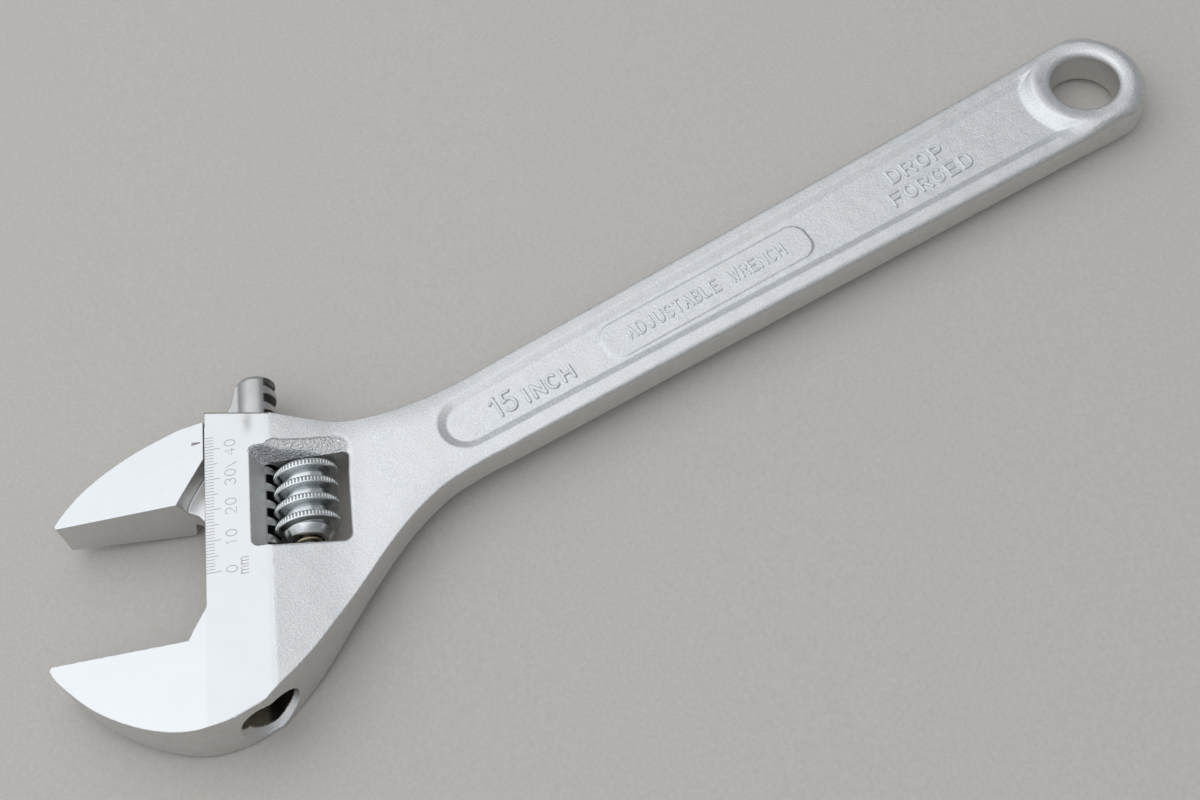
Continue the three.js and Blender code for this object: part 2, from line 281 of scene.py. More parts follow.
def meshed(field, low, high, voxel, along_handle=False):
    """Quads on the surface of a field, and their outward normals, in the head frame."""
    low, high = np.array(low, float), np.array(high, float)
    count = np.ceil((high - low) / voxel).astype(int) + 1
    u = (low[0] + voxel * np.arange(count[0], dtype=np.float32))[:, None]
    v = (low[1] + voxel * np.arange(count[1], dtype=np.float32))[None, :]
    x, y = (u * COS - v * SIN, u * SIN + v * COS) if along_handle else (u + 0 * v, v + 0 * u)
    band = 3 * voxel
    values = np.empty(count, np.float32)
    for k in range(count[2]):
        values[:, :, k] = np.clip(field(x, y, low[2] + voxel * k), -band, band)
    grid = openvdb.FloatGrid(background=band)
    grid.copyFromArray(values)
    points, _, quads = grid.convertToPolygons(isovalue=0.0, adaptivity=0.0)
    points = points.astype(float) * voxel + low
    if along_handle:
        a, b = points[:, 0].copy(), points[:, 1].copy()
        points[:, 0], points[:, 1] = a * COS - b * SIN, a * SIN + b * COS
    for _ in range(3):
        f, g = value_and_slope(field, points, voxel / 8)
        move = f / np.maximum((g * g).sum(1), 0.2)
        points -= g * np.clip(move, -voxel / 2, voxel / 2)[:, None]
    _, g = value_and_slope(field, points, voxel / 4)
    return points, quads, g / np.linalg.norm(g, axis=1)[:, None]


def value_and_slope(field, points, reach):
    x, y, z = points.T
    slope = [
        (field(x + reach * i, y + reach * j, z + reach * k)
         - field(x - reach * i, y - reach * j, z - reach * k)) / (2 * reach)
        for i, j, k in ((1, 0, 0), (0, 1, 0), (0, 0, 1))
    ]
    return field(x, y, z), np.stack(slope, 1)


def add_mesh(name, points, faces, normals=None, attributes=()):
    """A mesh object in the row frame, from points of the head frame."""
    faces = np.asarray(faces)
    corners = faces.shape[1]
    mesh = bpy.data.meshes.new(name)
    mesh.vertices.add(len(points))
    mesh.vertices.foreach_set("co", to_row(points).astype(np.float32).ravel())
    mesh.loops.add(faces.size)
    mesh.loops.foreach_set("vertex_index", faces.astype(np.int32).ravel())
    mesh.polygons.add(len(faces))
    mesh.polygons.foreach_set("loop_start", np.arange(len(faces), dtype=np.int32) * corners)
    mesh.update(calc_edges=True)
    mesh.shade_smooth()
    for key, values in attributes:
        layer = mesh.attributes.new(key, "FLOAT", "POINT")
        layer.data.foreach_set("value", np.asarray(values, np.float32))
    if normals is not None:
        mesh.normals_split_custom_set_from_vertices(turned(normals).tolist())
    made = bpy.data.objects.new(name, mesh)
    bpy.context.scene.collection.objects.link(made)
    return made


# ---- the forged body ----
forging = waves(3, 10, 5.0, 14.0)
PANEL_DEPTH = 1.35
PANEL_RIM = 5.1
PANEL_START = 77.8
PANEL_WALL = 2.8
PAD_START, PAD_END = 133.5, 206.0
PAD_HALF_WIDTH = 6.4
PAD_HEIGHT = 0.45
PAD_CORNER = 5.0
WINDOW_LEFT, WINDOW_RIGHT = 17.25, 41.2
WINDOW_BOTTOM, WINDOW_TOP = 6.7, 35.4
WINDOW_STRAIGHT = 5.1  # the walls are upright this far from the mid-plane, then lean back
BORE_RADIUS = ROD_RADIUS + 0.35


def panel_depth(along, aside):
    """How deep the sunk panel is at a point of the handle."""
    near = half_width(PANEL_START) - PANEL_RIM
    beyond = np.maximum(PANEL_START + near - along, 0)
    reach = half_width(np.maximum(along, PANEL_START + near)) - PANEL_RIM
    beside = reach - np.hypot(beyond, aside)
    fall = soft_min(np.clip(beside / PANEL_WALL, -0.4, 3), 1.0, 0.15)
    from_hole = np.hypot(along - HOLE_AT, aside)
    far = soft_min((from_hole - 16.8) / 4.2, 1.0, 0.1)
    deep = soft_max(soft_min(fall, far, 0.08), 0.0, 0.12) * PANEL_DEPTH
    beyond = along - np.clip(along, PAD_START + PAD_CORNER, PAD_END - PAD_CORNER)
    beside = np.maximum(np.abs(aside) - (PAD_HALF_WIDTH - PAD_CORNER), 0)
    pad = np.hypot(beyond, beside) - PAD_CORNER
    return deep - PAD_HEIGHT * step(-pad, -0.45, 0.45)


def half_thickness(x, y, out):
    """Half the body's thickness, where out is the distance past its outline."""
    along, aside = handle_place(x, y)
    flat = HEAD_HALF + JAW_TAPER * np.minimum(x, 0)
    fall = HEAD_HALF - (x - RIDGE_X) * (HEAD_HALF - WAIST_HALF) / (WAIST_X - RIDGE_X)
    handle = WAIST_HALF + (HANDLE_HALF - WAIST_HALF) * step(x, WAIST_X, HANDLE_X)
    height = soft_max(soft_min(flat, fall, 0.35), handle, 1.5)
    drop = np.interp(along, [25, 40, 54, 72, 84, 112, 330], [0, 0.3, 0.9, 1.4, 1.4, 0.9, 0.5])
    crown = np.clip(1 + out / 9.0, 0, 1) ** 2
    away = np.hypot(along - HOLE_AT, aside)
    crest = 15.3 - 0.9 * (along - HOLE_AT) / np.maximum(away, 1)
    spread = np.where(away < crest, 4.6, 2.8)
    ring = RING_RISE * np.exp(-(((away - crest) / spread) ** 2)) * step(along, 284, 298)
    return height + ring - drop * crown - panel_depth(along, aside)


def window_void(x, y, z):
    """The worm's window. Its upper wall leans back most, to meet the face in a level edge."""
    over = np.maximum(np.abs(z) - WINDOW_STRAIGHT, 0)
    rise = over / 5.9
    left = (WINDOW_LEFT - 3.9 * rise) - x
    right = x - (WINDOW_RIGHT + 1.6 * rise)
    low = (WINDOW_BOTTOM - 0.3 * rise) - y
    surface = np.maximum(HEAD_HALF - 0.25 * np.maximum(x - RIDGE_X, 0), 6.3)
    slope = (3.6 - 0.9 * step(x, 18, 24)) / (surface - WINDOW_STRAIGHT)
    high = y - WINDOW_TOP - slope * over
    high = high / np.where(np.abs(z) > WINDOW_STRAIGHT, np.hypot(1, slope), 1)
    across = np.maximum(left, right)
    return both(both(across, low, 2.2), high, 1.5)


def body_field(x, y, z):
    out = body_plan(x, y)
    along, aside = handle_place(x, y)
    forged = step(x, RIDGE_X - 0.2, RIDGE_X + 1.6)
    top = half_thickness(x, y, out)
    rim = np.interp(along, [15, 30, 60, 90, 150, 300, 330], [0.3, 0.4, 0.6, 1.2, 2.0, 2.6, 2.4])
    rim = rim + 0.45 * step(y, 47, 49) * step(-x, -20, -17)
    f = both(out, np.abs(z) - top, rim)
    f = f + 0.03 * forged * forging(x, y, z)
    hole = np.hypot(along - HOLE_AT, aside) - HOLE_RADIUS
    f = cut(f, hole, 2.1)
    lip = 0.25 + (1.0 + 0.9 * step(y, 28, 34)) * step(x, 17, 21)
    f = cut(f, window_void(x, y, z), lip)
    f = cut(f, np.hypot(x - ROD_X, z) - BORE_RADIUS, 0.35)
    flare = BORE_RADIUS + 0.75 * np.maximum(out + 2.3, 0)
    mouth = np.maximum(np.hypot(x - ROD_X - 0.9, z + 1.9) - flare, y + 20.0)
    f = cut(f, mouth, 0.3)
    slot = np.maximum(np.maximum(SLOT_FRONT - x, x - ROD_X), np.abs(z) - (NECK_HALF + 0.4))
    slot = np.maximum(slot, NECK_BOTTOM - OPENING - 0.8 - y)
    f = cut(f, slot, 0.25)
    around = np.hypot(x - WORM_X, z)
    pin_hole = np.maximum(around - (PIN_RADIUS + 0.3), PIN_BOTTOM - 0.4 - y)
    head_hole = np.maximum(around - (PIN_HEAD_RADIUS + 0.3), PIN_HEAD_BOTTOM - 0.3 - y)
    f = cut(f, np.minimum(pin_hole, head_hole), 0.25)
    return f + INSET


def wrench_body():
    low, high = (-52.5, -43.0, -11.7), (331.0, 51.5, 11.7)
    points, quads, normals = meshed(body_field, low, high, 0.36, True)
    x, y, z = points.T
    level = np.abs(normals[:, 2])
    machined = step(RIDGE_X + 0.3 - x + 0.25 * forging(x * 2, y * 2, 0), -0.35, 0.35)
    machined = machined * step(level, 0.9, 0.98)
    # sideways-facing walls, which the material tints brownish as a painted reflection of the floor
    side = step(0.75 - level, 0, 0.3)
    facet = step(-normals[:, 1], 0.04, 0.2) * step(level, 0.15, 0.4)
    facet = facet * ((x > 12) & (x < 45) & (y < 43))
    # the window's rough upper lip: its bumps, and a painted highlight in the material
    rough = facet * step(y, 33.5, 37.5)
    shade = facet * step(0.84 - level, 0, 0.2) * (y > 32)
    # a darker spot by the rod's exit on the top face, and a darker band along the head's top edge
    spot = 0.55 * np.exp(-(((x - 13.2) / 1.3) ** 2) - ((y - 47.5) / 3.2) ** 2)
    dim_tone = step(y - TOP_Y + 0.17 * np.maximum(x, 0), -1.0, -0.55) * (x < 19.5)
    # painted shadow: the roof and the deep part of the rod's bore, and the slot, are darkened
    reach = np.hypot(x - ROD_X, z)
    roof = (reach < ROD_RADIUS + 0.5) & (y < 4) & (z > -3.2)
    slot = (x > 0.6) & (x < 14) & (np.abs(z) < 4.6) & (np.abs(y) < 24)
    depth = (reach < ROD_RADIUS + 3.2) * (y < 4) * step(-body_plan(x, y), 2.0, 2.8)
    darkening = np.where(z > 0, spot, 0) + 1.1 * dim_tone + 1.5 * np.maximum(depth, roof | slot)
    extra = (
        ("machined", machined),
        ("side", side),
        ("rough", rough),
        ("darkening", darkening),
        ("shade", shade),
    )
    return add_mesh("forged_body", points, quads, normals, extra)


# ---- the movable jaw ----
def jaw_field(x, y, z):
    high = HEAD_HALF + JAW_TAPER * np.minimum(x, 0)
    front = np.exp(-np.maximum(y - MOVING_FACE_Y, 0) / 2.2) * step(x, -17, -9)
    bulge = 2.3 * np.clip(1 - (z / 10.3) ** 2, 0, 1) * front
    jaw = both(jaw_plan(x - bulge, y), np.abs(z) - high, 0.3)
    neck = both(neck_plan(x, y), np.abs(z) - NECK_HALF, 0.5)
    away = np.hypot(x - ROD_X, z) - ROD_RADIUS
    middle, half = (ROD_TOP + ROD_BOTTOM) / 2, (ROD_TOP - ROD_BOTTOM) / 2
    rod = both(away, np.abs(y - middle) - half, 2.4)
    f = joined(joined(jaw, neck, 0.25), rod, 0.5)
    root = WORM_X - WORM_RADIUS - 1.1
    lean = PITCH / (2 * math.pi * WORM_RADIUS)
    place = (y - CREST_AT_ROD - z * lean) / PITCH
    tooth = np.abs(place - np.round(place)) * PITCH
    within = (np.round(place) >= -1) & (np.round(place) <= 9)
    groove = np.maximum(root - x, tooth - (1.35 + (x - root) * 0.2))
    groove = np.where(within, groove, 9.0)
    return cut(f, groove, 0.18) + INSET


def movable_jaw():
    low, high = (-47.5, 4.5, -11.6), (20.5, 68.5, 11.6)
    points, quads, normals = meshed(jaw_field, low, high, 0.25)
    x, y, z = points.T
    side = step(0.75 - np.abs(normals[:, 2]), 0, 0.3)
    turned_rod = step(x, 5.5, 6.5)
    on_neck = (np.abs(z) > 3.5) & (np.abs(z) < 4.1) & (x > -5)
    darkening = on_neck * np.exp(-(((x + 1.6) / 1.5) ** 2) - ((y - 29.5) / 3.5) ** 2)
    # painted shade: the rod's grooves and its lower end inside the bore are darkened in the
    # material
    sunk = np.hypot(x - ROD_X, z) < ROD_RADIUS - 0.4
    groove = sunk & (x > ROD_X + 1.5) & (y > ROD_BOTTOM + 1.5) & (y < ROD_TOP - 1.5)
    groove = groove | (turned_rod > 0.5) & (y < ROD_BOTTOM + 0.8)
    extra = (("side", side), ("rod", turned_rod), ("darkening", darkening), ("groove", groove))
    return add_mesh("toothed_jaw", points, quads, normals, extra)


# ---- the worm ----
TICKS = 56  # knurled ridges round the crest


def revolve(profile, steps, centre=(WORM_X, 0.0)):
    """A turned skin about an axis parallel to Y, from a list of (radius, y)."""
    angle = np.linspace(0, 2 * math.pi, steps, endpoint=False)
    r, h = np.array(profile, float).T
    x = centre[0] + np.outer(np.sin(angle), r)
    z = centre[1] + np.outer(np.cos(angle), r)
    y = np.broadcast_to(h, x.shape)
    points = np.stack([x, y, z], 2).reshape(-1, 3)
    n = len(r)
    i, j = np.meshgrid(np.arange(steps), np.arange(n - 1), indexing="ij")
    a, b = i * n + j, (i + 1) % steps * n + j
    return points, np.stack([a, a + 1, b + 1, b], 2).reshape(-1, 4)


def rounded(profile, radius=0.15, steps=3):
    """The profile with each inner corner rounded."""
    p = [np.array(q, float) for q in profile]
    made = [p[0]]
    for before, corner, after in zip(p, p[1:], p[2:]):
        a, b = before - corner, after - corner
        la, lb = np.linalg.norm(a), np.linalg.norm(b)
        reach = min(radius, la / 2.1, lb / 2.1)
        made += list(bezier(corner + a / la * reach, corner, corner + b / lb * reach, steps))
    return [*made, p[-1]]


def join_parts(name, parts, attributes=()):
    """One mesh object from several lists of points and quads."""
    points, faces, count = [], [], 0
    for p, q in parts:
        points.append(p)
        faces.append(q + count)
        count += len(p)
    return add_mesh(name, np.vstack(points), np.vstack(faces), None, attributes)


def thread(steps_per_tick):
    """The worm's thread, with a row of knurled ridges on its crest."""
    section = rounded([
        (ROOT_RADIUS - 0.3, -2.15),
        (WORM_RADIUS - 0.25, -1.2),
        (WORM_RADIUS, -1.0),
        (WORM_RADIUS, 0.75),
        (WORM_RADIUS - 0.3, 1.0),
        (ROOT_RADIUS - 0.3, 1.75),
    ], 0.15, 2)
    crest = [(WORM_RADIUS, y) for y in np.linspace(-0.8, 0.62, 7)]
    middle = len(section) // 2
    section = np.array([*section[:middle], *crest, *section[middle:]])
    r, h = section.T
    start = CREST_AT_TOP - PITCH / 2
    turns = (WORM_TOP + 1.9 - start) / PITCH
    steps = int(turns * TICKS * steps_per_tick)
    angle = -math.pi + np.linspace(0, 2 * math.pi * turns, steps + 1)
    ridge = step(np.abs(np.sin(angle * TICKS / 2)), 0.4, 0.8)
    knurled = step(r, WORM_RADIUS - 0.45, WORM_RADIUS - 0.1) * step(h, -0.7, -0.5)
    grow = step(angle, angle[0], angle[0] + 0.7)
    radius = r[None, :] - 0.42 * np.outer(1 - ridge, knurled)
    radius = ROOT_RADIUS - 0.3 + (radius - ROOT_RADIUS + 0.3) * grow[:, None]
    y = h[None, :] + (CREST_AT_TOP + PITCH * angle / (2 * math.pi))[:, None]
    y = np.clip(y, WORM_BOTTOM + 1.8, WORM_TOP - 0.02)
    x = WORM_X + radius * np.sin(angle)[:, None]
    z = radius * np.cos(angle)[:, None]
    points = np.stack([x, y, z], 2).reshape(-1, 3)
    n = len(r)
    i, j = np.meshgrid(np.arange(steps), np.arange(n - 1), indexing="ij")
    a, b = i * n + j, (i + 1) * n + j
    # painted shade: the lower flank and the gaps between the knurled ridges are darkened in the
    # material
    flank = step(WORM_RADIUS - 0.12 - r, 0, 0.2) * (h < 0)
    gap_and_flank_shade = np.maximum(np.outer(1 - ridge, knurled), 0.85 * flank[None, :]).ravel()
    return points, np.stack([a, a + 1, b + 1, b], 2).reshape(-1, 4), gap_and_flank_shade


def adjusting_worm():
    bore = PIN_RADIUS + 0.35
    pocket = 4.6
    core = rounded([
        (bore, 16.2),
        (pocket, 16.2),
        (pocket, WORM_BOTTOM),
        (HUB_RADIUS - 1.7, WORM_BOTTOM),
        (HUB_RADIUS, WORM_BOTTOM + 2.3),
        (HUB_RADIUS - 0.1, WORM_BOTTOM + 2.6),
        (ROOT_RADIUS, WORM_BOTTOM + 3.2),
        (ROOT_RADIUS, WORM_TOP - 1.8),
        (HUB_RADIUS, WORM_TOP - 1.2),
        (HUB_RADIUS, WORM_TOP - 0.6),
        (HUB_RADIUS - 0.8, WORM_TOP),
        (bore, WORM_TOP),
        (bore, 16.2),
    ], 0.2)
    points, quads, gap_and_flank_shade = thread(12)
    turned_core = revolve(core, 128)
    # the turned core gets a little painted shade as well
    gap = np.concatenate([gap_and_flank_shade, np.full(len(turned_core[0]), 0.1)])
    return join_parts("knurled_worm", [(points, quads), turned_core], (("gap", gap),))


# ---- pin and spring ----
def worm_pin():
    profile = rounded([
        (0.02, PIN_BOTTOM + 0.1),
        (PIN_RADIUS - 0.6, PIN_BOTTOM),
        (PIN_RADIUS, PIN_BOTTOM + 0.6),
        (PIN_RADIUS, PIN_HEAD_BOTTOM),
        (PIN_HEAD_RADIUS, PIN_HEAD_BOTTOM),
        (PIN_HEAD_RADIUS, PIN_TOP - 0.4),
        (PIN_HEAD_RADIUS - 0.4, PIN_TOP),
        (0.9, PIN_TOP),
        (0.7, PIN_TOP - 0.9),
        (0.02, PIN_TOP - 1.0),
    ], 0.2)
    return join_parts("screw_pin", [revolve(profile, 64)])


def worm_spring():
    low, high, turns, radius, wire = 7.4, 15.4, 3.25, 3.6, 0.5
    steps, ring = 36 * 6, 12
    angle = np.linspace(0, 2 * math.pi * turns, steps + 1)
    centre = np.stack([
        WORM_X + radius * np.sin(angle),
        np.linspace(low, high, steps + 1),
        radius * np.cos(angle),
    ], 1)
    out = np.stack([np.sin(angle), 0 * angle, np.cos(angle)], 1)
    around = np.linspace(0, 2 * math.pi, ring, endpoint=False)
    points = (
        centre[:, None, :]
        + wire * np.cos(around)[None, :, None] * out[:, None, :]
        + wire * np.sin(around)[None, :, None] * np.array([0.0, 1.0, 0.0])
    ).reshape(-1, 3)
    i, j = np.meshgrid(np.arange(steps), np.arange(ring), indexing="ij")
    a, b = i * ring + j, (i + 1) * ring + j
    c, d = (i + 1) * ring + (j + 1) % ring, i * ring + (j + 1) % ring
    quads = np.stack([a, b, c, d], 2).reshape(-1, 4)
    caps = [[k, k + 1, ring - 2 - k, ring - 1 - k] for k in range(ring // 2 - 1)]
    last = steps * ring
    caps += [[last + q for q in cap[::-1]] for cap in caps]
    return join_parts("coil_spring", [(points, np.vstack([quads, caps]))])


# ---- the scale, the pointer and the lettering ----
DIGITS = {
    "0": [[(0.5 + 0.42 * math.sin(a), 0.5 + 0.5 * math.cos(a))
           for a in np.linspace(0, 2 * math.pi, 21)]],
    "1": [[(0.3, 0.82), (0.58, 1.0), (0.58, 0.0)]],
    "2": [[(0.08, 0.78), (0.22, 0.95), (0.48, 1.0), (0.74, 0.93), (0.86, 0.74),
           (0.8, 0.55), (0.08, 0.0), (0.9, 0.0)]],
    "3": [[(0.1, 0.84), (0.28, 0.98), (0.52, 1.0), (0.76, 0.92), (0.84, 0.75),
           (0.74, 0.58), (0.44, 0.53), (0.76, 0.48), (0.9, 0.29), (0.8, 0.09),
           (0.5, 0.0), (0.24, 0.03), (0.06, 0.18)]],
    "4": [[(0.72, 0.0), (0.72, 1.0), (0.04, 0.3), (0.94, 0.3)]],
    "m": [[(0.02, 0.0), (0.02, 0.68)],
          [(0.02, 0.5), (0.16, 0.66), (0.34, 0.66), (0.48, 0.5), (0.48, 0.0)],
          [(0.48, 0.5), (0.62, 0.66), (0.8, 0.66), (0.94, 0.5), (0.94, 0.0)]],
}


def arc(cx, cy, rx, ry, first, last, steps=10):
    angles = np.radians(np.linspace(first, last, steps + 1))
    return [(cx + rx * math.cos(a), cy + ry * math.sin(a)) for a in angles]


LETTERS = {
    "1": [[(0.0, 0.78), (1.0, 1.0), (1.0, 0.0)]],
    "5": [[(0.85, 1.0), (0.16, 1.0), (0.08, 0.56), *arc(0.46, 0.32, 0.5, 0.32, 120, -140)]],
    "A": [[(0.0, 0.0), (0.5, 1.0), (1.0, 0.0)], [(0.2, 0.36), (0.8, 0.36)]],
    "B": [[(0.0, 0.0), (0.0, 1.0), *arc(0.55, 0.77, 0.38, 0.23, 90, -90, 8), (0.0, 0.54)],
          [*arc(0.55, 0.27, 0.45, 0.27, 90, -90, 8), (0.0, 0.0)]],
    "C": [arc(0.5, 0.5, 0.5, 0.5, 48, 312, 16)],
    "D": [[(0.4, 0.0), (0.0, 0.0), (0.0, 1.0), (0.4, 1.0), *arc(0.4, 0.5, 0.6, 0.5, 90, -90, 12)]],
    "E": [[(1.0, 1.0), (0.0, 1.0), (0.0, 0.0), (1.0, 0.0)], [(0.0, 0.52), (0.8, 0.52)]],
    "F": [[(1.0, 1.0), (0.0, 1.0), (0.0, 0.0)], [(0.0, 0.52), (0.8, 0.52)]],
    "G": [[*arc(0.5, 0.5, 0.5, 0.5, 48, 330, 16), (0.95, 0.44), (0.6, 0.44)]],
    "H": [[(0.0, 0.0), (0.0, 1.0)], [(1.0, 0.0), (1.0, 1.0)], [(0.0, 0.52), (1.0, 0.52)]],
    "I": [[(0.5, 0.0), (0.5, 1.0)]],
    "J": [[(0.8, 1.0), (0.8, 0.3), *arc(0.42, 0.3, 0.38, 0.3, -10, -170, 8)]],
    "L": [[(0.0, 1.0), (0.0, 0.0), (0.9, 0.0)]],
    "N": [[(0.0, 0.0), (0.0, 1.0), (1.0, 0.0), (1.0, 1.0)]],
    "O": [arc(0.5, 0.5, 0.5, 0.5, 0, 360, 20)],
    "P": [[(0.0, 0.0), (0.0, 1.0), *arc(0.6, 0.74, 0.4, 0.26, 90, -90, 8), (0.0, 0.48)]],
    "R": [[(0.0, 0.0), (0.0, 1.0), *arc(0.6, 0.74, 0.4, 0.26, 90, -90, 8), (0.0, 0.48)],
          [(0.5, 0.48), (1.0, 0.0)]],
    "S": [[*arc(0.5, 0.75, 0.45, 0.25, 20, 250, 10), *arc(0.5, 0.25, 0.45, 0.25, 70, -160, 10)]],
    "T": [[(0.0, 1.0), (1.0, 1.0)], [(0.5, 1.0), (0.5, 0.0)]],
    "U": [[(0.0, 1.0), (0.0, 0.35), *arc(0.5, 0.35, 0.5, 0.35, 190, 350, 10), (1.0, 1.0)]],
    "W": [[(0.0, 1.0), (0.25, 0.0), (0.5, 0.8), (0.75, 0.0), (1.0, 1.0)]],
}


MARK_TOP = HEAD_HALF - INSET + 0.012
MARK_DEPTH = 0.12
MARK_WIDTH = 0.22


def ribbon(path, width):
    """An engraved line: a thin closed strip along a path in plan."""
    p = np.array(path, float)
    ways = np.diff(p, axis=0)
    ways /= np.linalg.norm(ways, axis=1)[:, None]
    way = np.vstack([ways[:1], ways[:-1] + ways[1:], ways[-1:]])
    way /= np.maximum(np.linalg.norm(way, axis=1), 0.5)[:, None]
    across = np.stack([-way[:, 1], way[:, 0]], 1) * width / 2
    return p + across, p - across


def inlay(name, lines, taper=0.0):
    """Closed strips sunk in the face of the head or the jaw; lines are (path, width)."""
    parts = []
    for path, width in lines:
        left, right = ribbon(path, width)
        rings = []
        for edge, drop in ((left, 0), (right, 0), (right, MARK_DEPTH), (left, MARK_DEPTH)):
            rings.append(np.column_stack([edge, MARK_TOP + taper * edge[:, 0] - drop]))
        points = np.stack(rings, 1).reshape(-1, 3)
        i, j = np.meshgrid(np.arange(len(path) - 1), np.arange(4), indexing="ij")
        a, b, k = 4 * i, 4 * i + 4, (j + 1) % 4
        quads = np.stack([a + j, a + k, b + k, b + j], 2).reshape(-1, 4)
        last = 4 * (len(path) - 1)
        caps = [[3, 2, 1, 0], [last, last + 1, last + 2, last + 3]]
        parts.append((points, np.vstack([quads, caps])))
    made = join_parts(name, parts)
    made.data.shade_flat()
    return made


def figures(text, centre, height, spacing):
    """Strokes of a number that reads along Y, with its top towards -X."""
    lines = []
    start = centre[1] - spacing * len(text) / 2
    for place, letter in enumerate(text):
        for path in DIGITS[letter]:
            turned_path = [
                (centre[0] + height * (0.5 - v), start + spacing * (place + 0.1 + 0.8 * u))
                for u, v in path
            ]
            lines.append((turned_path, MARK_WIDTH))
    return lines


def scale_marks():
    lines = []
    for value in range(45):
        reach = 4.8 if value % 10 == 0 else 4.0 if value % 5 == 0 else 2.9
        lines.append(([(0.35, value), (reach, value)], 0.2))
    for value, y in ((0, 0.3), (10, 10.2), (20, 20.4), (30, 29.9), (40, 39.8)):
        lines += figures(str(value), (7.75, y), 3.2, 3.0)
    lines += figures("mm", (10.9, 0.9), 3.4, 2.9)
    lines.append(([(6.5, 33.2), (9.8, 34.7)], MARK_WIDTH))
    return inlay("scale_marks", lines)


def pointer_mark():
    """A filled triangle that points at the scale's reading."""
    tip = (-1.0, OPENING)
    lines = [([(-3.75, OPENING + d), tip], 0.34) for d in (-0.42, -0.14, 0.14, 0.42)]
    return inlay("jaw_pointer", lines, JAW_TAPER)


def spelled(text, along, aside, length, height):
    """Strokes of a word that reads along the handle, fitted to a length and a height."""
    paths, start, gap = [], along, 0.42
    widths = [0.35 if letter in "I1" else 1.0 if letter in "WM" else 0.78 for letter in text]
    unit = length / (sum(widths) + gap * (len(text) - 1))
    for letter, width in zip(text, widths):
        for path in LETTERS.get(letter, []):
            paths.append([(start + unit * width * u, aside + height * v) for u, v in path])
        start += unit * (width + gap)
    return paths


def raised_words(name, words, height, floor_z, half_stroke):
    """Forged lettering that stands up from the handle's panel as rounded ridges."""
    plan = Plan([path for word in words for path in spelled(*word)], 0.1, 1.5, False)

    def field(x, y, z):
        along, aside = handle_place(x, y)
        ridge = plan(along, aside) - half_stroke
        return both(ridge + 0.6 * np.maximum(z - floor_z, 0), np.abs(z - floor_z) - height, 0.22)

    low = (plan.low[0], plan.low[1] + HANDLE_OFFSET, floor_z - height - 0.3)
    high = (plan.high[0], plan.high[1] + HANDLE_OFFSET, floor_z + height + 0.3)
    points, quads, normals = meshed(field, low, high, 0.15, True)
    return add_mesh(name, points, quads, normals)


# ---- materials ----
RANGE_KEYS = ("From Min", "From Max", "To Min", "To Max")


class Nodes:
    """A material's node tree, with short ways to add and link its nodes."""

    def __init__(self, name):
        self.material = bpy.data.materials.new(name)
        self.material.use_nodes = True
        self.tree = self.material.node_tree
        self.shader = self.tree.nodes["Principled BSDF"]
        self.place = self.add("ShaderNodeTexCoord").outputs["Object"]

    def add(self, kind, **settings):
        node = self.tree.nodes.new(kind)
        for key, value in settings.items():
            if key in node.inputs:
                node.inputs[key].default_value = value
            else:
                setattr(node, key, value)
        return node

    def link(self, output, target):
        self.tree.links.new(output, target)

    def noise(self, size_mm, detail, stretch=(1, 1, 1)):
        node = self.add("ShaderNodeTexNoise", Scale=1.0, Detail=detail, Roughness=0.6)
        scaled = self.add("ShaderNodeMapping")
        scaled.inputs["Scale"].default_value = tuple(1 / (size_mm * MM * s) for s in stretch)
        self.link(self.place, scaled.inputs["Vector"])
        self.link(scaled.outputs["Vector"], node.inputs["Vector"])
        return node.outputs["Fac"]

    def attribute(self, name):
        return self.add("ShaderNodeAttribute", attribute_name=name).outputs["Fac"]

    def math(self, operation, a, b=0.0, clamp=False):
        node = self.add("ShaderNodeMath", operation=operation, use_clamp=clamp)
        for socket, value in zip(node.inputs, (a, b)):
            if isinstance(value, (int, float)):
                socket.default_value = value
            else:
                self.link(value, socket)
        return node.outputs[0]

    def ramp(self, value, low, high, at=(0.3, 0.7)):
        """Maps value from the two places in at to low and high."""
        node = self.add("ShaderNodeMapRange")
        self.link(value, node.inputs["Value"])
        for key, number in zip(RANGE_KEYS, (*at, low, high)):
            node.inputs[key].default_value = number
        return node.outputs["Result"]

    def mix(self, factor, a, b):
        node = self.add("ShaderNodeMix", data_type="RGBA")
        for index, value in ((0, factor), (6, a), (7, b)):
            if isinstance(value, (tuple, float, int)):
                node.inputs[index].default_value = value
            else:
                self.link(value, node.inputs[index])
        return node.outputs[2]

    def bump(self, height, distance_mm, strength, normal=None):
        node = self.add("ShaderNodeBump", Strength=strength, Distance=distance_mm * MM)
        self.link(height, node.inputs["Height"])
        if normal is not None:
            self.link(normal, node.inputs["Normal"])
        return node.outputs["Normal"]

    def finish(self, colour=None, roughness=None, normal=None, metallic=1.0):
        self.shader.inputs["Metallic"].default_value = metallic
        for key, value in (("Base Color", colour), ("Roughness", roughness), ("Normal", normal)):
            if value is not None:
                self.link(value, self.shader.inputs[key])
        return self.material


def tint(r, g, b):
    return (r, g, b, 1.0)


